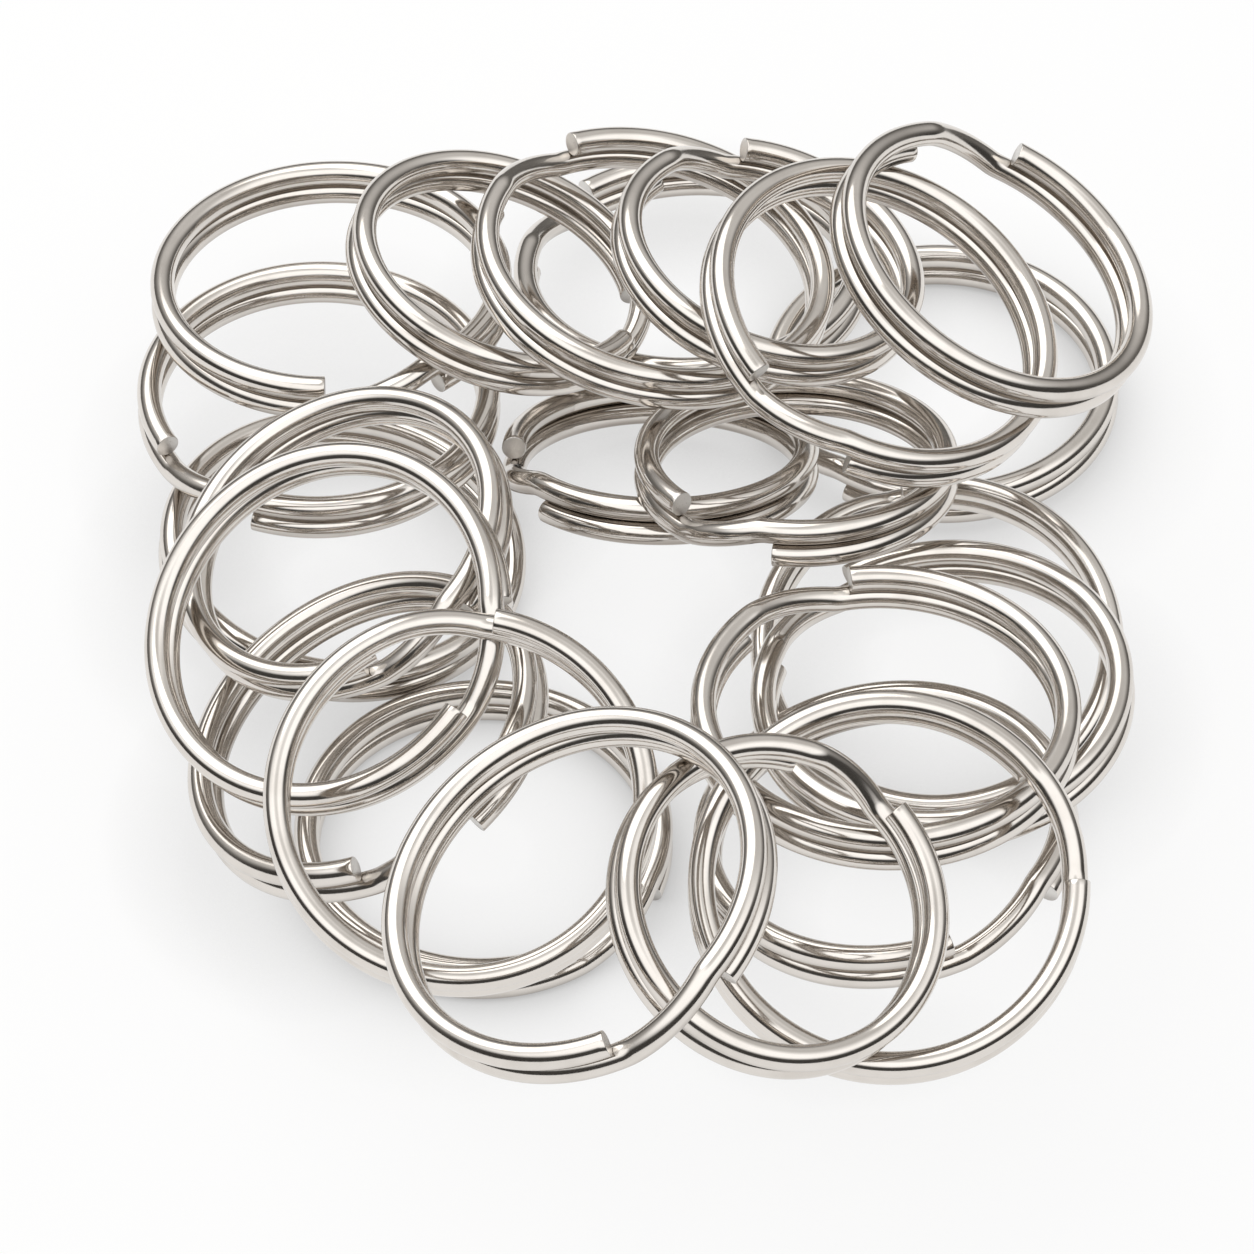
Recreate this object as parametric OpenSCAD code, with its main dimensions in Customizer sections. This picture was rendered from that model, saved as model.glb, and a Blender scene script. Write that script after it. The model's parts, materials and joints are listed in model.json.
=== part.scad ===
// A heap of split rings, each a double coil of round wire with a free end that pries up.
// Millimetres, +Z up. The heap stands on z = 0, with the middle of its outline at the origin.

/* [Ring] */
// Outer diameter of a large ring
large_d = 30; // [27:0.5:36]
// Outer diameter of a medium ring
medium_d = 28; // [25:0.5:34]
// Outer diameter of a small ring
small_d = 26; // [23:0.5:32]
// Diameter of the round wire
wire_d = 2; // [1.6:0.1:2.2]
// Gap between the two turns of a ring
turn_gap = 0.04; // [0.03:0.01:0.1]

/* [Crossover] */
// Angle along the ring that the crossover between the turns takes
crossover_angle = 36; // [32:1:44]
// Radius of the bend at each end of the crossover
bend_r = 4; // [3:0.5:5]

/* [Free end] */
// Angle along the ring between each wire end and the crossover
end_gap = 2; // [1:0.5:5]
// Angle along the ring of the free end that can be pried up
pry_angle = 50; // [40:5:60]
// Gap between the free end and the turn that it springs from
root_gap = 0.03; // [0.03:0.01:0.06]

/* [Heap] */
// Gap left where a ring lies on another
rest_gap = 0.4; // [0.3:0.05:0.6]

/* [Hidden] */
// The rings from the bottom of the heap to the top. Each row holds the size, the place of the
// centre in plan in diameters of a large ring, the lean, the direction it leans down to, and the
// direction of the wire end.
HEAP = [
    ["large", [0.88, 0.83], 2, 105, 195],
    ["large", [-0.78, 0.16], 7, 15, 340],
    ["large", [-0.38, -0.78], 0, 0, 300],
    ["large", [-0.85, 0.58], 4, 75, 210],
    ["small", [0.09, 0.36], 24, 90, 180],
    ["large", [-0.68, -0.7], 23, 180, 270],
    ["medium", [-0.75, -0.18], 22, 195, 280],
    ["large", [-0.78, -0.53], 28, 225, 320],
    ["large", [-0.42, -1.14], 25, 270, 80],
    ["large", [0.18, 1.1], 9, 105, 130],
    ["large", [0.83, -0.25], 17, 255, 100],
    ["large", [-0.82, 0.87], 7, 90, 270],
    ["large", [0.67, -0.95], 10, 150, 290],
    ["large", [0.82, -0.63], 7, 165, 120],
    ["small", [-0.35, 0.82], 19, 15, 330],
    ["small", [0.45, 0.08], 18, 90, 220],
    ["large", [0.07, 0.73], 12, 15, 120],
    ["small", [0.38, 0.65], 17, 15, 100],
    ["large", [0.67, 0.32], 22, 345, 220],
    ["large", [0.66, -0.85], 5, 90, 100],
    ["large", [0.65, -1.45], 22, 270, 0],
    ["medium", [0.97, 0.45], 26, 0, 80],
    ["small", [0.37, -1.62], 26, 315, 45],
    ["large", [-0.12, -1.72], 22, 195, 280],
];
SIZE = 0;
PLACE = 1;
LEAN = 2;
LEAN_WAY = 3;
END_WAY = 4;

// Steps of the search for the height at which a ring rests
drop_steps = 30;
// Points round a turn that the search tests
drop_points = 72;
// Steps of the search for the tilt of the crossover
tilt_steps = 40;

// Amount by which the wire is drawn thinner in the bends, and the length of a bend's seat
// inside the wire on each side of it
bend_draw = 0.02;
bend_seat_length = 0.1;

pitch = wire_d + turn_gap;
bend_seat = bend_seat_length / bend_r * 180 / PI;
half_cross = crossover_angle / 2;
coil_colour = [0.70, 0.68, 0.65];
end_colour = [0.78, 0.76, 0.73];

function outer_d(i) = HEAP[i][SIZE] == "large" ? large_d
    : HEAP[i][SIZE] == "medium" ? medium_d
    : small_d;
function mid_r(i) = (outer_d(i) - wire_d) / 2;
function place(i) = HEAP[i][PLACE] * large_d;

// The ring's axis, and the two directions that span its plane
function axis(i) = let (lean = HEAP[i][LEAN], way = HEAP[i][LEAN_WAY])
    [sin(lean) * cos(way), sin(lean) * sin(way), cos(lean)];
function downhill(i) = let (lean = HEAP[i][LEAN], way = HEAP[i][LEAN_WAY])
    [cos(lean) * cos(way), cos(lean) * sin(way), -sin(lean)];
function level(i) = let (way = HEAP[i][LEAN_WAY]) [-sin(way), cos(way), 0];

// Points along the middle of the wire in both turns, about the ring's centre
function turn_points(i) = [
    for (side = [-1, 1], a = [0:360 / drop_points:359.9])
        mid_r(i) * (cos(a) * downhill(i) + sin(a) * level(i)) + side * pitch / 2 * axis(i)
];

// Distance from a point to the band that ring j's wire winds round
function band_distance(p, j, centre) =
    let (q = p - centre, h = q * axis(j), across = sqrt(max(0, q * q - h * h)) - mid_r(j))
    norm([across, max(0, abs(h) - pitch / 2)]);

// Height of ring i's centre when it lies on the floor
function floor_height(i) = mid_r(i) * sin(HEAP[i][LEAN])
    + pitch / 2 * cos(HEAP[i][LEAN]) + wire_d / 2;

// Centres of the rings before ring i that it can meet on its way down
function under(i, centres) = [
    for (j = [0:1:i - 1])
        if (norm(place(i) - place(j)) < mid_r(i) + mid_r(j) + 2 * wire_d) [j, centres[j]]
];

// Lowers ring i from height z until its wire is rest_gap from the rings under it
function lowered(i, z, points, near, steps) =
    let (centre = [place(i)[0], place(i)[1], z])
    let (room = min([for (p = points, n = near) band_distance(p + centre, n[0], n[1])])
        - wire_d - rest_gap)
    steps == 0 || room < 0.002 ? z : lowered(i, z - room, points, near, steps - 1);

function rest_height(i, centres) =
    let (near = under(i, centres))
    len(near) == 0 ? floor_height(i) : max(floor_height(i),
        lowered(i, max([for (n = near) n[1][2]]) + mid_r(i), turn_points(i), near, drop_steps));

// Centres of all rings, each one resting on those before it
function stacked(centres = []) =
    let (i = len(centres))
    i == len(HEAP) ? centres
    : stacked([each centres, [place(i)[0], place(i)[1], rest_height(i, centres)]]);

// Half of the room that ring i takes along the given direction
function reach(i, along) = mid_r(i) * sqrt(1 - pow(axis(i) * along, 2))
    + pitch / 2 * abs(axis(i) * along) + wire_d / 2;

// Middle of the heap's outline along the given direction
function middle(along) = let (ends = [for (i = [0:len(HEAP) - 1], side = [-1, 1])
        [place(i)[0], place(i)[1], 0] * along + side * reach(i, along)])
    (min(ends) + max(ends)) / 2;

SHIFT = [-middle([1, 0, 0]), -middle([0, 1, 0]), 0];
CENTRES = stacked();

// The crossover is an arc in a plane tilted about the ring's radius, with a bend at each end
// that brings the wire into the plane of its turn.
function cross_sweep(tilt) = atan(tan(half_cross) * cos(tilt));
function bend_angle(tilt) = asin(cos(cross_sweep(tilt)) * sin(tilt));
function cross_r(tilt, r) = r / (cos(tilt) * cos(bend_angle(tilt)))
    - bend_r * tan(bend_angle(tilt)) / tan(cross_sweep(tilt));
function cross_rise(tilt, r) = cross_r(tilt, r) * sin(cross_sweep(tilt)) * sin(tilt)
    + bend_r * (1 - cos(bend_angle(tilt)));
function cross_offset(tilt, r) = let (sweep = cross_sweep(tilt), bend = bend_angle(tilt))
    r * cos(sweep) * cos(tilt) / cos(bend) - cross_r(tilt, r) * cos(sweep)
    + bend_r * tan(bend) * sin(sweep);
function cross_tilt(r, low = 0, high = 40, steps = tilt_steps) =
    let (mid = (low + high) / 2)
    steps == 0 ? mid
    : cross_rise(mid, r) < pitch / 2 ? cross_tilt(r, mid, high, steps - 1)
    : cross_tilt(r, low, mid, steps - 1);

module arc(r, start, sweep, d = wire_d) {
    rotate([0, 0, start])
        rotate_extrude(angle = sweep, $fn = 96)
            translate([r, 0])
                circle(d = d, $fn = 32);
}

module crossover(r, tilt) {
    sweep = cross_sweep(tilt);
    translate([cross_offset(tilt, r), 0, 0])
        rotate([tilt, 0, 0])
            arc(cross_r(tilt, r), -sweep, 2 * sweep);
}

// The bend where the crossover comes up to the upper turn
module upper_bend(r, tilt) {
    sweep = cross_sweep(tilt);
    bend = bend_angle(tilt);
    outward = [cos(sweep) * cos(tilt), sin(sweep)] / cos(bend);
    along = atan2(cos(sweep) * cos(tilt), -sin(sweep));
    translate([r * outward[0], r * outward[1], pitch / 2 - bend_r])
        rotate([0, 0, along])
            rotate([90, 0, 0])
                rotate([0, 0, 90])
                    arc(bend_r, -bend_seat, bend + 2 * bend_seat, wire_d - bend_draw);
}

// Half of the coil: the upper bend and the upper turn, which runs on for the given angle
module half_coil(r, tilt, turn) {
    upper_bend(r, tilt);
    translate([0, 0, pitch / 2])
        arc(r, half_cross, turn);
}

full_turn = 360 - crossover_angle - end_gap;

module coil(r) {
    tilt = cross_tilt(r);
    root = root_gap / r * 180 / PI;
    crossover(r, tilt);
    half_coil(r, tilt, full_turn - pry_angle - root);
    rotate([180, 0, 0])
        half_coil(r, tilt, full_turn);
}

module free_end(r) {
    translate([0, 0, pitch / 2])
        arc(r, half_cross + full_turn - pry_angle, pry_angle);
}

// Puts a ring's own frame where the ring lies, with the wire end on its side of the heap
module lay(i) {
    translate(CENTRES[i] + SHIFT)
        rotate(a = HEAP[i][LEAN], v = level(i))
            rotate([0, 0, HEAP[i][END_WAY] + half_cross + end_gap])
                children();
}

function ring_name(i, piece) = str("ring_", i < 9 ? "0" : "", i + 1, "_", piece);

for (i = [0:len(HEAP) - 1]) {
    color(coil_colour) lay(i) coil(mid_r(i));
    color(end_colour) lay(i) free_end(mid_r(i));
}
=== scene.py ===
"""A heap of split key rings: their bent wires, nickel finish, floor, light and camera."""

import json
import logging
import math
from dataclasses import dataclass, field
from enum import Enum

import bmesh
import bpy
from mathutils import Matrix, Vector

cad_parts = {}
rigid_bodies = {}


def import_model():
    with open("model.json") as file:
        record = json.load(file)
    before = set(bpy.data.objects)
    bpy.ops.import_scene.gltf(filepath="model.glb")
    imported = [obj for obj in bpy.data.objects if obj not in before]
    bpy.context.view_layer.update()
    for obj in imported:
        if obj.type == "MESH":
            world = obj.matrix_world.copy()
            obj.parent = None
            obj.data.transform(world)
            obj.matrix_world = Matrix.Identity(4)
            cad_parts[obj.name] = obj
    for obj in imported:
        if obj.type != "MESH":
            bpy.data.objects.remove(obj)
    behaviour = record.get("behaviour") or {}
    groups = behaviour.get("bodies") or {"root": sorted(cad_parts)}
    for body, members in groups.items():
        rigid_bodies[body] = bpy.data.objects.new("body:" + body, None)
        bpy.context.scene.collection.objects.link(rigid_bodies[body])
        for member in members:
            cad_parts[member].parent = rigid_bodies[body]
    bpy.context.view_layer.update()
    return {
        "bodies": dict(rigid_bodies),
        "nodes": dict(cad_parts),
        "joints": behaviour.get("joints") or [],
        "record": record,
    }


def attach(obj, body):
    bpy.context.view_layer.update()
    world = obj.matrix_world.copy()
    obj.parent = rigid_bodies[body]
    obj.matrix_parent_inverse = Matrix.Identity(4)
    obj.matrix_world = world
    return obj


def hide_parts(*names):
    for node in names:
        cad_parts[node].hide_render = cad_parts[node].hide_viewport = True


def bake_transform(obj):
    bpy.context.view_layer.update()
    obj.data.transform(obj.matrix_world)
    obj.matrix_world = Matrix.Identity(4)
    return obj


LOG = logging.getLogger("split_rings")
MM = 0.001


class Slot(Enum):
    """Material slots of the record that the wires belong to."""

    COIL = "coil"
    FREE_END = "free_end"


class Attribute(Enum):
    """Names of the point attributes that the wire's finish reads.

    The surface holds each point's place round the wire (side and up, in radii) and its
    distance along the wire, in millimetres.
    """

    SURFACE = "wire_surface"


# ---------------------------------------------------------------- sizes


@dataclass(frozen=True)
class WireSizes:
    """Sizes that every ring's wire shares, in metres and degrees.

    Attributes:
        diameter: Diameter of the round wire.
        crossover: Angle along the ring that the crossover between the turns takes.
        end_gap: Angle along the ring between each wire end and the crossover.
        pry: Angle along the ring of the free end that can be pried up.
        bend_radius: Radius of the bend at each end of the crossover.
        burr: Width of the small chamfer round each cut end.
        root_bend: Length of wire over which the free end bends up when it is pried; not used.
        facets: Flats round the wire in its mesh.
        step: Angle along the ring of one mesh step.
    """

    diameter: float = 2.0 * MM
    crossover: float = 36.0
    end_gap: float = 2.0
    pry: float = 50.0
    bend_radius: float = 4.0 * MM
    burr: float = 0.07 * MM
    root_bend: float = 4.0 * MM
    facets: int = 28
    step: float = 2.0

    @property
    def half_cross(self) -> float:
        """Half of the crossover's angle."""
        return self.crossover / 2

    @property
    def full_turn(self) -> float:
        """Angle of one level turn, from the crossover to the wire's end."""
        return 360 - self.crossover - self.end_gap

    @property
    def root(self) -> float:
        """Angle at which the free end springs from its turn."""
        return self.half_cross + self.full_turn - self.pry


@dataclass(frozen=True)
class Crossover:
    """The stretch of wire that climbs from the lower turn to the upper one.

    It is an arc in a plane tilted about the ring's radius, with a bend at each end that
    brings the wire level with its turn.

    Attributes:
        tilt: Tilt of the arc's plane, in radians.
        sweep: Half of the arc's angle, in radians.
        bend: Angle of each end bend, in radians.
        radius: Radius of the arc.
        offset: Distance of the arc's centre from the ring's axis.
    """

    STEEPEST = 40.0
    HALVINGS = 50

    tilt: float
    sweep: float
    bend: float
    radius: float
    offset: float

    @classmethod
    def at_tilt(cls, tilt: float, ring_radius: float, sizes: WireSizes) -> "Crossover":
        """Works out the crossover whose arc lies at one tilt.

        Args:
            tilt: Tilt of the arc's plane, in radians.
            ring_radius: Radius of the ring's turns at the middle of the wire.
            sizes: The wire's shared sizes.

        Returns:
            The crossover at that tilt.
        """
        half = math.radians(sizes.half_cross)
        sweep = math.atan(math.tan(half) * math.cos(tilt))
        bend = math.asin(math.cos(sweep) * math.sin(tilt))
        radius = ring_radius / (math.cos(tilt) * math.cos(bend)) \
            - sizes.bend_radius * math.tan(bend) / math.tan(sweep)
        offset = ring_radius * math.cos(sweep) * math.cos(tilt) / math.cos(bend) \
            - radius * math.cos(sweep) + sizes.bend_radius * math.tan(bend) * math.sin(sweep)
        return cls(tilt, sweep, bend, radius, offset)

    def rise(self, sizes: WireSizes) -> float:
        """Height from the middle of the crossover up to the level turn."""
        return self.radius * math.sin(self.sweep) * math.sin(self.tilt) \
            + sizes.bend_radius * (1 - math.cos(self.bend))

    @classmethod
    def between_turns(cls, ring_radius: float, pitch: float, sizes: WireSizes) -> "Crossover":
        """Finds the crossover that joins two turns.

        Args:
            ring_radius: Radius of the ring's turns at the middle of the wire.
            pitch: Distance between the turns along the ring's axis.
            sizes: The wire's shared sizes.

        Returns:
            The crossover that climbs by the pitch.
        """
        low, high = 0.0, math.radians(cls.STEEPEST)
        for _ in range(cls.HALVINGS):
            middle = (low + high) / 2
            if cls.at_tilt(middle, ring_radius, sizes).rise(sizes) < pitch / 2:
                low = middle
            else:
                high = middle
        return cls.at_tilt((low + high) / 2, ring_radius, sizes)


# ---------------------------------------------------------------- bending wire


class WireBender:
    """Bends one length of round wire, stretch by stretch, with spins of its cross-section."""

    FEWEST_STEPS = 3
    RIM_SEGMENTS = 2

    def __init__(self, sizes: WireSizes, start: Vector, heading: Vector) -> None:
        """Cuts the wire square at its start.

        Args:
            sizes: The wire's shared sizes.
            start: Middle of the wire at its start.
            heading: Direction in which the wire runs from there.
        """
        self.sizes = sizes
        self.mesh = bmesh.new()
        self.length = 0.0
        self.surface = self.mesh.verts.layers.float_vector.new(Attribute.SURFACE.value)
        side = heading.cross(Vector((0, 0, 1))).normalized()
        up = side.cross(heading).normalized()
        frame = Matrix((side, up, heading)).transposed().to_4x4()
        frame.translation = start
        bmesh.ops.create_circle(self.mesh, cap_ends=False, radius=sizes.diameter / 2,
                                segments=sizes.facets, matrix=frame)
        for vert in self.mesh.verts:
            out = (vert.co - start) / (sizes.diameter / 2)
            vert[self.surface] = (out.dot(side), out.dot(up), 0.0)
        self.tip: list[bmesh.types.BMEdge] = list(self.mesh.edges)
        self.tail = list(self.mesh.edges)

    def bend(self, centre: Vector, axis: Vector, angle: float) -> None:
        """Carries the wire on round an axis.

        Args:
            centre: A point on the axis.
            axis: Direction of the axis.
            angle: Angle of the bend, in radians; negative turns the other way.
        """
        steps = max(self.FEWEST_STEPS, math.ceil(abs(math.degrees(angle)) / self.sizes.step))
        before = len(self.mesh.verts)
        middle = sum((v.co for e in self.tip for v in e.verts), Vector()) / (2 * len(self.tip))
        arm = middle - centre
        arm -= axis * arm.dot(axis)
        tip_verts = list({v for e in self.tip for v in e.verts})
        made = bmesh.ops.spin(self.mesh, geom=tip_verts + self.tip, cent=centre, axis=axis,
                              angle=angle, steps=steps, use_merge=False, use_duplicate=False)
        self.tip = [g for g in made["geom_last"] if isinstance(g, bmesh.types.BMEdge)]
        self.mesh.verts.ensure_lookup_table()
        stretch = arm.length * abs(angle)
        for index in range(before, len(self.mesh.verts)):
            done = (index - before) // self.sizes.facets + 1
            vert = self.mesh.verts[index]
            side, up, _ = vert[self.surface]
            vert[self.surface] = (side, up, (self.length + stretch * done / steps) / MM)
        self.length += stretch

    def cut(self, edges: list[bmesh.types.BMEdge], chamfered: bool) -> None:
        """Closes one end of the wire with a flat face.

        Args:
            edges: Edges round the end.
            chamfered: Whether the end is in view and so has its rim broken.
        """
        face = bmesh.ops.contextual_create(self.mesh, geom=edges)["faces"][0]
        face.material_index = 1 if chamfered else 0
        face.smooth = False
        rim = list(face.edges)
        if chamfered:
            bmesh.ops.bevel(self.mesh, geom=rim, offset=self.sizes.burr, affect="EDGES",
                            segments=self.RIM_SEGMENTS, profile=0.5, material=-1)
        else:
            for edge in rim:
                edge.smooth = False

    def finished(self, name: str, place: Matrix) -> bpy.types.Object:
        """Turns the bent wire into an object.

        Args:
            name: Name of the object.
            place: The ring's own frame in the heap.

        Returns:
            The object, with its place in its mesh.
        """
        for face in self.mesh.faces:
            if len(face.verts) == 4:
                face.smooth = True
        bmesh.ops.transform(self.mesh, matrix=place, verts=self.mesh.verts)
        bmesh.ops.recalc_face_normals(self.mesh, faces=self.mesh.faces)
        data = bpy.data.meshes.new(name)
        self.mesh.to_mesh(data)
        self.mesh.free()
        piece = bpy.data.objects.new(name, data)
        bpy.context.collection.objects.link(piece)
        return piece


# ---------------------------------------------------------------- finishes


Colour = tuple[float, float, float]
WHITE: Colour = (1.0, 1.0, 1.0)


class NodeSheet:
    """A node tree laid out from left to right as its nodes are added."""

    SPACING = 190

    def __init__(self, tree: bpy.types.NodeTree) -> None:
        """Takes an empty tree."""
        self.tree = tree
        self.column = 0

    @classmethod
    def of(cls, owner: bpy.types.Material | bpy.types.World) -> "NodeSheet":
        """Gives a material or a world an empty tree.

        Args:
            owner: The material or the world.

        Returns:
            The sheet of its tree.
        """
        owner.use_nodes = True
        owner.node_tree.nodes.clear()
        return cls(owner.node_tree)

    def add(self, kind: str, **settings: object) -> bpy.types.Node:
        """Adds one node.

        Args:
            kind: Type of the node.
            **settings: Properties of the node, set by name.

        Returns:
            The new node.
        """
        node = self.tree.nodes.new(kind)
        node.location = (self.column * self.SPACING, 0)
        self.column += 1
        for key, value in settings.items():
            setattr(node, key, value)
        return node

    def link(self, source: bpy.types.NodeSocket, target: bpy.types.NodeSocket) -> None:
        """Joins an output to an input."""
        self.tree.links.new(source, target)

    def blend(self, share: bpy.types.NodeSocket, first: bpy.types.NodeSocket | Colour,
              second: bpy.types.NodeSocket | Colour) -> bpy.types.NodeSocket:
        """Adds a blend of two colours.

        Args:
            share: Share of the second colour.
            first: The first colour, or the output that gives it.
            second: The second colour, or the output that gives it.

        Returns:
            The output with the blended colour.
        """
        node = self.add("ShaderNodeMix", data_type="RGBA")
        self.link(share, node.inputs["Factor"])
        for end, colour in (("A_Color", first), ("B_Color", second)):
            socket = next(i for i in node.inputs if i.identifier == end)
            if isinstance(colour, tuple):
                socket.default_value = (*colour, 1)
            else:
                self.link(colour, socket)
        return next(o for o in node.outputs if o.identifier == "Result_Color")

    def spread(self, value: bpy.types.NodeSocket, reach: tuple[float, float],
               result: tuple[float, float] = (0.0, 1.0),
               eased: bool = True) -> bpy.types.NodeSocket:
        """Adds a change of range.

        Args:
            value: The output to change.
            reach: Values of it that give the first and the last result.
            result: The first and the last result.
            eased: Whether the change starts and ends gently.

        Returns:
            The output with the result.
        """
        kind = "SMOOTHSTEP" if eased else "LINEAR"
        node = self.add("ShaderNodeMapRange", interpolation_type=kind)
        for label, number in zip(("From Min", "From Max", "To Min", "To Max"), (*reach, *result)):
            node.inputs[label].default_value = number
        self.link(value, node.inputs["Value"])
        return node.outputs["Result"]


class ShaderGroups:
    """Shader node groups that the finishes share."""

    LINE_DETAIL = 3.0
    LINE_ROUGHNESS = 0.6
    HAZE_DETAIL = 4.0
    FULL_HAZE = 0.75

    def __init__(self) -> None:
        """Builds each group once."""
        self.drawn_lines = self._drawn_lines()
        self.handling = self._handling()
        # Painted shade: a mask that darkens the lower side of each wire.
        self.painted_shade_group = self._painted_shade_group()

    @staticmethod
    def _group(name: str, inputs: dict[str, tuple[str, float]],
               outputs: dict[str, str]) -> tuple[NodeSheet, bpy.types.Node, bpy.types.Node]:
        """Starts a group with named sockets.

        Args:
            name: Name of the group.
            inputs: Socket type and default value of each input, by name.
            outputs: Socket type of each output, by name.

        Returns:
            The group's sheet, its input node and its output node.
        """
        tree = bpy.data.node_groups.new(name, "ShaderNodeTree")
        for label, (kind, value) in inputs.items():
            socket = tree.interface.new_socket(label, in_out="INPUT", socket_type=kind)
            if kind == "NodeSocketFloat":
                socket.default_value = value
        for label, kind in outputs.items():
            tree.interface.new_socket(label, in_out="OUTPUT", socket_type=kind)
        sheet = NodeSheet(tree)
        return sheet, sheet.add("NodeGroupInput"), sheet.add("NodeGroupOutput")

    def _drawn_lines(self) -> bpy.types.NodeTree:
        """Makes the fine lines that the drawing die leaves along the wire.

        Returns:
            The group's tree.
        """
        sheet, given, put = self._group(
            "Drawn Lines",
            {"Surface": ("NodeSocketVector", 0.0), "Fineness": ("NodeSocketFloat", 6.0),
             "Stretch": ("NodeSocketFloat", 0.05)},
            {"Lines": "NodeSocketFloat"})
        split = sheet.add("ShaderNodeSeparateXYZ")
        sheet.link(given.outputs["Surface"], split.inputs[0])
        along = sheet.add("ShaderNodeMath", operation="MULTIPLY")
        sheet.link(split.outputs["Z"], along.inputs[0])
        sheet.link(given.outputs["Stretch"], along.inputs[1])
        joined = sheet.add("ShaderNodeCombineXYZ")
        sheet.link(split.outputs["X"], joined.inputs["X"])
        sheet.link(split.outputs["Y"], joined.inputs["Y"])
        sheet.link(along.outputs[0], joined.inputs["Z"])
        noise = sheet.add("ShaderNodeTexNoise", noise_dimensions="3D")
        noise.inputs["Detail"].default_value = self.LINE_DETAIL
        noise.inputs["Roughness"].default_value = self.LINE_ROUGHNESS
        sheet.link(joined.outputs[0], noise.inputs["Vector"])
        sheet.link(given.outputs["Fineness"], noise.inputs["Scale"])
        sheet.link(noise.outputs["Fac"], put.inputs["Lines"])
        return sheet.tree

    def _handling(self) -> bpy.types.NodeTree:
        """Makes the soft clouding of the plating where rings have rubbed and been touched.

        Returns:
            The group's tree.
        """
        sheet, given, put = self._group(
            "Handling Haze",
            {"Size": ("NodeSocketFloat", 300.0), "Cover": ("NodeSocketFloat", 0.5)},
            {"Haze": "NodeSocketFloat"})
        where = sheet.add("ShaderNodeTexCoord")
        noise = sheet.add("ShaderNodeTexNoise", noise_dimensions="3D")
        noise.inputs["Detail"].default_value = self.HAZE_DETAIL
        sheet.link(where.outputs["Object"], noise.inputs["Vector"])
        sheet.link(given.outputs["Size"], noise.inputs["Scale"])
        spread = sheet.add("ShaderNodeMapRange", interpolation_type="SMOOTHSTEP")
        spread.inputs["From Max"].default_value = self.FULL_HAZE
        sheet.link(given.outputs["Cover"], spread.inputs["From Min"])
        sheet.link(noise.outputs["Fac"], spread.inputs["Value"])
        sheet.link(spread.outputs["Result"], put.inputs["Haze"])
        return sheet.tree

    def _painted_shade_group(self) -> bpy.types.NodeTree:
        """Makes the painted shade on the wire's lower side, darker towards the side that lies on
        the next turn or the table.

        Returns:
            The group's tree.
        """
        sheet, given, put = self._group(
            "Painted Underside Shade",
            {"Surface": ("NodeSocketVector", 0.0), "Start": ("NodeSocketFloat", 0.2),
             "Full": ("NodeSocketFloat", -0.7)},
            {"Painted Shade": "NodeSocketFloat"})
        split = sheet.add("ShaderNodeSeparateXYZ")
        sheet.link(given.outputs["Surface"], split.inputs[0])
        spread = sheet.add("ShaderNodeMapRange", interpolation_type="SMOOTHSTEP")
        sheet.link(split.outputs["Y"], spread.inputs["Value"])
        sheet.link(given.outputs["Start"], spread.inputs["From Min"])
        sheet.link(given.outputs["Full"], spread.inputs["From Max"])
        sheet.link(spread.outputs["Result"], put.inputs["Painted Shade"])
        return sheet.tree


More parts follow.
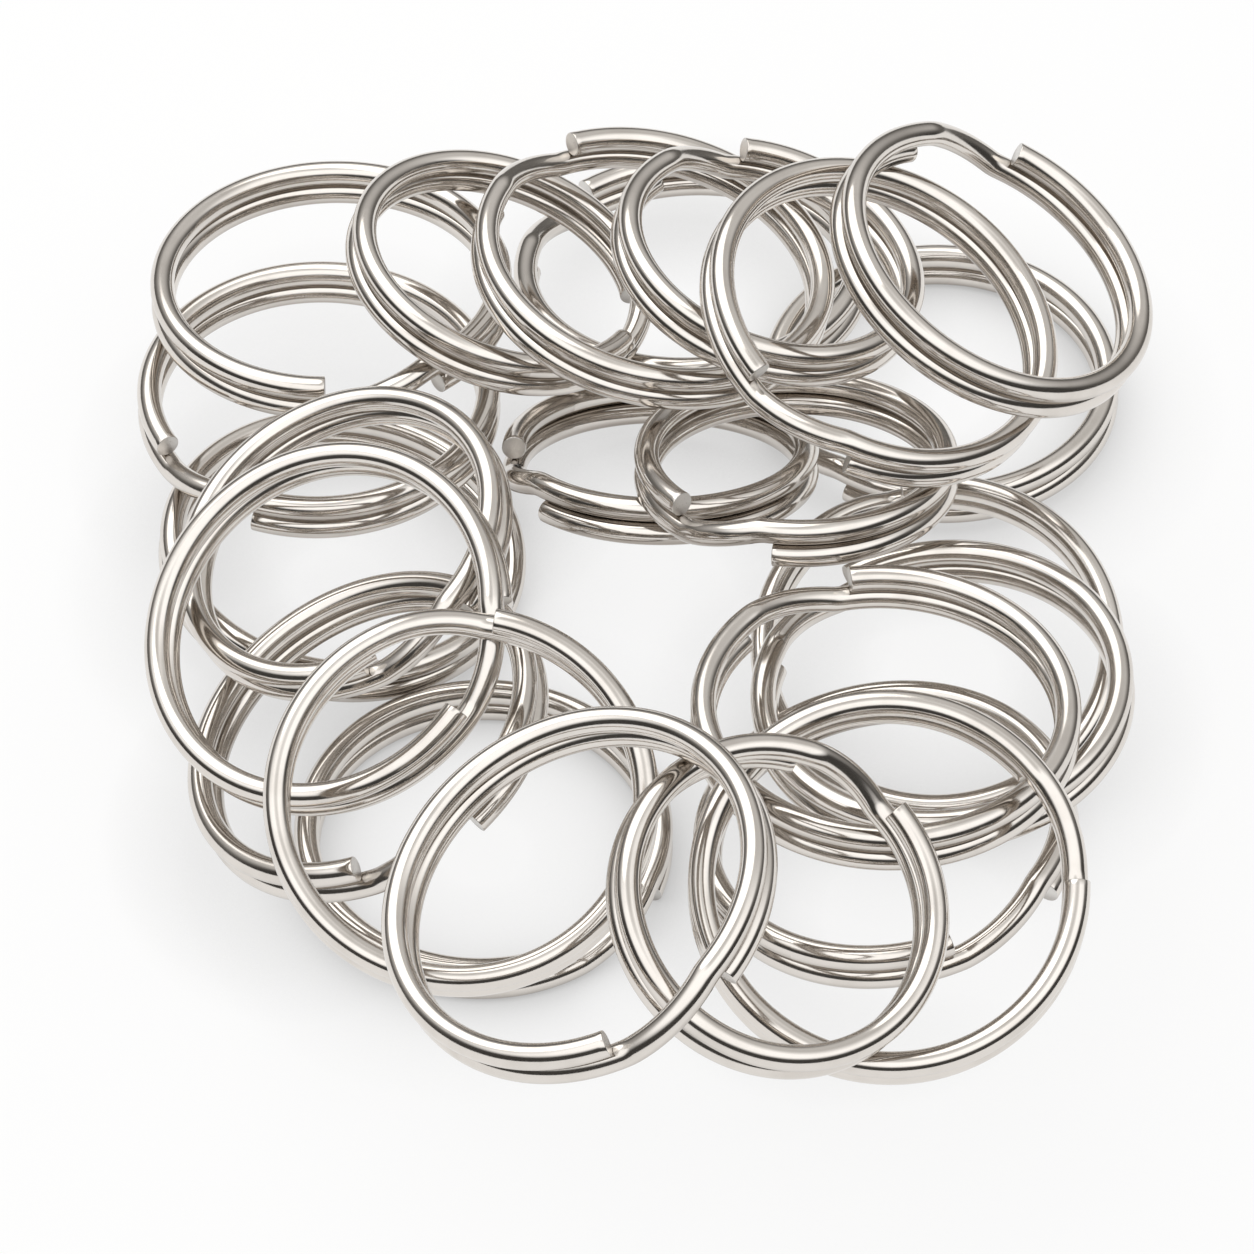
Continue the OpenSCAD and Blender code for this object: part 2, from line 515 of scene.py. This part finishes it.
@dataclass(frozen=True)
class NickelFinish:
    """A nickel-plated surface of the wire.

    Attributes:
        name: Name of the material.
        colour: Reflected colour of the clean plating.
        hazed: Reflected colour where the plating is clouded.
        painted_shade_colour: Colour of the shade painted on the wire's lower side.
        smooth: Roughness of the clean plating.
        dull: Roughness where the plating is clouded.
        line_depth: Strength of the drawn lines' relief.
        fineness: How fine the drawn lines are round the wire.
        stretch: How long the drawn lines are; a smaller number is longer.
        streaks: Range of the drawn lines over which the roughness runs.
        line_height: Height of the drawn lines' relief.
        cloud_size: How small the clouds of the haze are.
        cloud_cover: Level of the haze's noise at which it starts.
        painted_shade_from: Height on the wire, in radii, where its painted lower-side shade
            starts.
        painted_shade_full: Height on the wire, in radii, where that painted shade is full.
    """

    name: str
    colour: Colour
    hazed: Colour
    painted_shade_colour: Colour
    smooth: float
    dull: float
    line_depth: float
    fineness: float
    stretch: float = 0.014
    streaks: tuple[float, float] = (0.3, 0.7)
    line_height: float = 0.02 * MM
    cloud_size: float = 260.0
    cloud_cover: float = 0.42
    painted_shade_from: float = 0.15
    painted_shade_full: float = -0.80

    def material(self, groups: ShaderGroups) -> bpy.types.Material:
        """Makes the finish's material.

        Args:
            groups: The shared shader groups.

        Returns:
            The new material.
        """
        made = bpy.data.materials.new(self.name)
        sheet = NodeSheet.of(made)
        surface = sheet.add("ShaderNodeAttribute", attribute_name=Attribute.SURFACE.value)
        lines = sheet.add("ShaderNodeGroup", node_tree=groups.drawn_lines)
        lines.inputs["Fineness"].default_value = self.fineness
        lines.inputs["Stretch"].default_value = self.stretch
        sheet.link(surface.outputs["Vector"], lines.inputs["Surface"])
        haze = sheet.add("ShaderNodeGroup", node_tree=groups.handling)
        haze.inputs["Size"].default_value = self.cloud_size
        haze.inputs["Cover"].default_value = self.cloud_cover
        under = sheet.add("ShaderNodeGroup", node_tree=groups.painted_shade_group)
        under.inputs["Start"].default_value = self.painted_shade_from
        under.inputs["Full"].default_value = self.painted_shade_full
        sheet.link(surface.outputs["Vector"], under.inputs["Surface"])
        clean = sheet.blend(haze.outputs["Haze"], self.colour, self.hazed)
        # Painted shade: the colour darkens towards a dark tone on the wire's lower side.
        with_painted_shade = sheet.blend(under.outputs["Painted Shade"], clean, self.painted_shade_colour)
        rough = sheet.spread(lines.outputs["Lines"], self.streaks, (self.smooth, self.dull),
                             eased=False)
        relief = sheet.add("ShaderNodeBump")
        relief.inputs["Strength"].default_value = self.line_depth
        relief.inputs["Distance"].default_value = self.line_height
        sheet.link(lines.outputs["Lines"], relief.inputs["Height"])
        shader = sheet.add("ShaderNodeBsdfPrincipled")
        shader.inputs["Metallic"].default_value = 1.0
        sheet.link(with_painted_shade, shader.inputs["Base Color"])
        sheet.link(rough, shader.inputs["Roughness"])
        sheet.link(relief.outputs["Normal"], shader.inputs["Normal"])
        out = sheet.add("ShaderNodeOutputMaterial")
        sheet.link(shader.outputs["BSDF"], out.inputs["Surface"])
        return made


# The darkest colour of each finish is painted shade on the wire's lower side.
POLISHED = NickelFinish(
    name="Bright nickel plate", colour=(0.74, 0.70, 0.655), hazed=(0.67, 0.63, 0.585),
    painted_shade_colour=(0.33, 0.29, 0.25), smooth=0.09, dull=0.16, line_depth=0.08, fineness=5.0)
SHEARED = NickelFinish(
    name="Sheared nickel end", colour=(0.72, 0.70, 0.67), hazed=(0.58, 0.555, 0.53),
    painted_shade_colour=(0.50, 0.475, 0.45), smooth=0.26, dull=0.40, line_depth=0.6, fineness=9.0)


# ---------------------------------------------------------------- rings


@dataclass
class SplitRing:
    """One split ring: a coil of two turns whose upper end springs up.

    Attributes:
        name: The ring's name, with which its bodies and nodes start.
        centre: Middle of the ring.
        axis: The ring's axis.
        outward: Direction from the axis to the root of the free end.
        hinge: Point at the top of the wire where the free end starts to lift.
        sizes: The wire's shared sizes.
    """

    name: str
    centre: Vector
    axis: Vector
    outward: Vector
    hinge: Vector
    sizes: WireSizes = field(default_factory=WireSizes)

    @classmethod
    def from_record(cls, name: str, record: dict) -> "SplitRing":
        """Reads a ring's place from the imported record.

        Args:
            name: The ring's name.
            record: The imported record.

        Returns:
            The ring.
        """
        eye = next(m for m in record["mounts"] if m["name"] == f"{name}_eye")
        pry = next(j for j in record["behaviour"]["joints"] if j["name"] == f"{name}_pry")
        return cls(name, Vector(eye["pos_m"]), Vector(eye["axis"]).normalized(),
                   Vector(pry["axis"]).normalized(), Vector(pry["pos_m"]))

    @property
    def radius(self) -> float:
        """Radius of the turns at the middle of the wire."""
        return (self.hinge - self.centre).dot(self.outward)

    @property
    def pitch(self) -> float:
        """Distance between the two turns along the axis."""
        return 2 * (self.hinge - self.centre).dot(self.axis) - self.sizes.diameter

    @property
    def place(self) -> Matrix:
        """The ring's own frame in the heap: axis up, middle of the crossover at angle 0.

        Returns:
            The turn and the shift that take the ring from its own frame to the heap.
        """
        back = Matrix.Rotation(-math.radians(self.sizes.root), 3, self.axis)
        zero = back @ self.outward
        frame = Matrix((zero, self.axis.cross(zero), self.axis)).transposed().to_4x4()
        frame.translation = self.centre
        return frame

    def _on_turn(self, angle: float, height: float) -> tuple[Vector, Vector]:
        """Works out where the wire is on a level turn.

        Args:
            angle: Angle from the middle of the crossover, in degrees.
            height: Height of the turn above the middle of the ring.

        Returns:
            The middle of the wire, and its heading.
        """
        a = math.radians(angle)
        return (Vector((self.radius * math.cos(a), self.radius * math.sin(a), height)),
                Vector((-math.sin(a), math.cos(a), 0)))

    def coil(self) -> bpy.types.Object:
        """Bends the coil: lower turn, crossover, and upper turn as far as the free end.

        Returns:
            The coil.
        """
        sizes, radius, up = self.sizes, self.radius, Vector((0, 0, 1))
        cross = Crossover.between_turns(radius, self.pitch, sizes)
        half = math.radians(sizes.half_cross)
        start = -(sizes.half_cross + sizes.full_turn)
        wire = WireBender(sizes, *self._on_turn(start, -self.pitch / 2))
        wire.bend(Vector(), up, math.radians(sizes.full_turn))
        rise = self.pitch / 2 - sizes.bend_radius
        low = Vector((math.cos(half), -math.sin(half), 0))
        high = Vector((math.cos(half), math.sin(half), 0))
        wire.bend(radius * low - rise * up, low, cross.bend)
        wire.bend(Vector((cross.offset, 0, 0)),
                  Vector((0, -math.sin(cross.tilt), math.cos(cross.tilt))), 2 * cross.sweep)
        wire.bend(radius * high + rise * up, high, -cross.bend)
        wire.bend(Vector(), up, math.radians(sizes.full_turn - sizes.pry))
        wire.cut(wire.tail, chamfered=True)
        wire.cut(wire.tip, chamfered=False)
        return wire.finished(f"{self.name}_bent_coil", self.place)

    def free_end(self) -> bpy.types.Object:
        """Bends the free end, from its root to its cut tip.

        Returns:
            The free end.
        """
        wire = WireBender(self.sizes, *self._on_turn(self.sizes.root, self.pitch / 2))
        wire.bend(Vector(), Vector((0, 0, 1)), math.radians(self.sizes.pry))
        wire.cut(wire.tail, chamfered=False)
        wire.cut(wire.tip, chamfered=True)
        return wire.finished(f"{self.name}_sprung_end", self.place)

    def build(self, finishes: list[bpy.types.Material]) -> None:
        """Makes and dresses both pieces, puts the coil on its body and bakes the free end in
        place.

        Args:
            finishes: Finish of the wire's side, then of its cut ends.
        """
        coil_body, end_body = f"{self.name}_coil", f"{self.name}_free_end"
        coil, end = self.coil(), self.free_end()
        for piece, slot, node in ((coil, Slot.COIL, coil_body), (end, Slot.FREE_END, end_body)):
            for finish in finishes:
                piece.data.materials.append(finish)
            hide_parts(node)
            LOG.info("%s: %d faces", piece.name, len(piece.data.polygons))
        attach(coil, coil_body)
        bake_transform(end)


# ---------------------------------------------------------------- surroundings


@dataclass(frozen=True)
class Floor:
    """The pale round table top under the heap.

    Attributes:
        radius: Radius of the table top, wide enough to fill every view from above.
        facets: Flats round its rim.
        colour: Its colour.
        roughness: Its roughness.
        gloss: How much it shines.
        glow: Share of plain white that the camera and the metal see in it, which thins the
            shadows on it and doesn't light the heap.
        shade: Tone of the contact shadow painted into that white near a wire.
        reach: Distance from a wire over which that painted shadow fades out.
        samples: Rays per shaded point that look for a wire for that painted shadow.
    """

    radius: float = 12.0
    facets: int = 192
    colour: Colour = (0.93, 0.93, 0.93)
    roughness: float = 0.9
    gloss: float = 0.1
    glow: float = 0.84
    shade: Colour = (0.40, 0.395, 0.39)
    reach: float = 10.0 * MM
    samples: int = 8

    def build(self) -> bpy.types.Object:
        """Makes the table top and its matt material.

        Returns:
            The table top.
        """
        mesh = bmesh.new()
        bmesh.ops.create_circle(mesh, cap_ends=True, radius=self.radius,
                                segments=self.facets)
        data = bpy.data.meshes.new("table_top")
        mesh.to_mesh(data)
        mesh.free()
        top = bpy.data.objects.new("table_top", data)
        bpy.context.collection.objects.link(top)
        data.materials.append(self.material())
        return top

    def material(self) -> bpy.types.Material:
        """Makes the matt white finish of the table top, with a contact shadow painted into its
        white glow.

        Returns:
            The new material.
        """
        made = bpy.data.materials.new("Matt white table")
        sheet = NodeSheet.of(made)
        matt = sheet.add("ShaderNodeBsdfPrincipled")
        matt.inputs["Base Color"].default_value = (*self.colour, 1)
        matt.inputs["Roughness"].default_value = self.roughness
        matt.inputs["Specular IOR Level"].default_value = self.gloss
        # Painted shadow: ambient occlusion darkens the white glow towards the shade tone near
        # wires.
        painted_contact_shadow = sheet.add("ShaderNodeAmbientOcclusion", samples=self.samples)
        painted_contact_shadow.inputs["Distance"].default_value = self.reach
        white = sheet.add("ShaderNodeEmission")
        sheet.link(sheet.blend(painted_contact_shadow.outputs["AO"], self.shade, WHITE), white.inputs["Color"])
        ray = sheet.add("ShaderNodeLightPath")
        shine = sheet.add("ShaderNodeMath", operation="MAXIMUM")
        sheet.link(ray.outputs["Is Glossy Ray"], shine.inputs[0])
        sheet.link(ray.outputs["Is Transmission Ray"], shine.inputs[1])
        seen = sheet.add("ShaderNodeMath", operation="MAXIMUM")
        sheet.link(ray.outputs["Is Camera Ray"], seen.inputs[0])
        sheet.link(shine.outputs[0], seen.inputs[1])
        share = sheet.add("ShaderNodeMath", operation="MULTIPLY")
        share.inputs[1].default_value = self.glow
        sheet.link(seen.outputs[0], share.inputs[0])
        pick = sheet.add("ShaderNodeMixShader")
        sheet.link(share.outputs[0], pick.inputs[0])
        sheet.link(matt.outputs["BSDF"], pick.inputs[1])
        sheet.link(white.outputs[0], pick.inputs[2])
        out = sheet.add("ShaderNodeOutputMaterial")
        sheet.link(pick.outputs[0], out.inputs["Surface"])
        return made


@dataclass(frozen=True)
class Softbox:
    """A round soft lamp.

    Attributes:
        name: Name of the lamp.
        offset: Where it hangs, from the middle of the table.
        size: Its diameter.
        power: Its power, in watts.
        colour: Its light's colour.
    """

    name: str
    offset: tuple[float, float, float]
    size: float
    power: float
    colour: Colour = (1.0, 0.985, 0.96)

    def hang(self) -> None:
        """Hangs the lamp so that it faces the heap."""
        data = bpy.data.lights.new(self.name, "AREA")
        data.shape = "DISK"
        data.size = self.size
        data.energy = self.power
        data.color = self.colour
        lamp = bpy.data.objects.new(self.name, data)
        bpy.context.collection.objects.link(lamp)
        lamp.location = Vector(self.offset)
        lamp.rotation_euler = (-lamp.location).to_track_quat("-Z", "Y").to_euler()


@dataclass(frozen=True)
class Studio:
    """The light tent round the table: bright walls and roof over a dark horizon.

    Attributes:
        front: Elevation of each band of the tent's front, in degrees, and its brightness.
        back: Elevation of each band of the tent's back, in degrees, and its brightness.
        turn: Where the front passes into the back, as shares of the way to the back horizon.
        shade: Colour of the tent's cloth where it is dark.
        lamps: The soft lamps.
    """

    front: tuple[tuple[float, float], ...] = (
        (-15, 0.35), (-2, 0.05), (26, 0.06), (39, 1.35), (68, 1.45), (90, 0.70))
    back: tuple[tuple[float, float], ...] = (
        (-15, 0.40), (-2, 0.10), (14, 0.18), (34, 0.68), (62, 0.64), (90, 0.70))
    turn: tuple[float, float] = (-0.20, 0.45)
    shade: Colour = (1.0, 0.95, 0.89)
    lamps: tuple[Softbox, ...] = (
        Softbox("key_softbox", (-0.20, 0.26, 0.50), 0.62, 1.15),)

    def _wall(self, sheet: NodeSheet, height: bpy.types.NodeSocket,
              bands: tuple[tuple[float, float], ...]) -> bpy.types.NodeSocket:
        """Adds one side of the tent.

        Args:
            sheet: The world's sheet.
            height: Sine of the elevation, moved to run from 0 to 1.
            bands: Elevation of each band, in degrees, and its brightness.

        Returns:
            The colour of that side.
        """
        ramp = sheet.add("ShaderNodeValToRGB")
        points = ramp.color_ramp.elements
        while len(points) < len(bands):
            points.new(0.5)
        for point, (level, light) in zip(points, bands):
            point.position = (math.sin(math.radians(level)) + 1) / 2
            point.color = (*(light * tint ** max(0.0, 1 - light) for tint in self.shade), 1)
        sheet.link(height, ramp.inputs["Fac"])
        return ramp.outputs["Color"]

    def build_world(self) -> None:
        """Makes the tent as the world's background."""
        world = bpy.data.worlds.new("light_tent")
        bpy.context.scene.world = world
        sheet = NodeSheet.of(world)
        where = sheet.add("ShaderNodeTexCoord")
        split = sheet.add("ShaderNodeSeparateXYZ")
        sheet.link(where.outputs["Generated"], split.inputs[0])
        height = sheet.spread(split.outputs["Z"], (-1.0, 1.0), eased=False)
        side = sheet.spread(split.outputs["Y"], self.turn)
        cloth = sheet.blend(side, self._wall(sheet, height, self.front),
                            self._wall(sheet, height, self.back))
        tent = sheet.add("ShaderNodeBackground")
        sheet.link(cloth, tent.inputs["Color"])
        out = sheet.add("ShaderNodeOutputWorld")
        sheet.link(tent.outputs[0], out.inputs["Surface"])

    def build(self) -> None:
        """Puts up the tent and its lamps."""
        self.build_world()
        for lamp in self.lamps:
            lamp.hang()


@dataclass(frozen=True)
class ViewPoint:
    """The camera, from the front and well above.

    Attributes:
        elevation: Angle above the table, in degrees.
        distance: Distance from the point that it faces.
        field: Width of the table that it sees at that point.
        sensor: Width of its sensor, in millimetres.
        depth: Nearest and farthest distance that it sees.
        aim: Where it faces on the table, from the middle of the heap's outline.
    """

    elevation: float = 50.0
    distance: float = 0.50
    field: float = 0.1028
    sensor: float = 36.0
    depth: tuple[float, float] = (0.01, 40.0)
    aim: tuple[float, float] = (-0.0009, 0.0093)

    def build(self) -> bpy.types.Object:
        """Makes the camera and gives it to the scene.

        Returns:
            The camera.
        """
        data = bpy.data.cameras.new("camera")
        data.sensor_width = self.sensor
        data.lens = data.sensor_width * self.distance / self.field
        data.clip_start, data.clip_end = self.depth
        camera = bpy.data.objects.new("camera", data)
        bpy.context.collection.objects.link(camera)
        tilt = math.radians(self.elevation)
        back = Vector((0, -math.cos(tilt), math.sin(tilt)))
        camera.location = Vector((*self.aim, 0)) + back * self.distance
        camera.rotation_euler = (-back).to_track_quat("-Z", "Y").to_euler()
        bpy.context.scene.camera = camera
        return camera


def main() -> None:
    """Loads the frame, then builds the rings and their surroundings."""
    logging.basicConfig(level=logging.INFO, format="%(name)s: %(message)s")
    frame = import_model()
    bpy.context.scene.view_settings.view_transform = "Standard"
    groups = ShaderGroups()
    finishes = [POLISHED.material(groups), SHEARED.material(groups)]
    names = [body[:-len("_coil")] for body in frame["bodies"] if body.endswith("_coil")]
    for name in sorted(names):
        SplitRing.from_record(name, frame["record"]).build(finishes)
    Floor().build()
    Studio().build()
    ViewPoint().build()


if __name__ == "__main__":
    main()
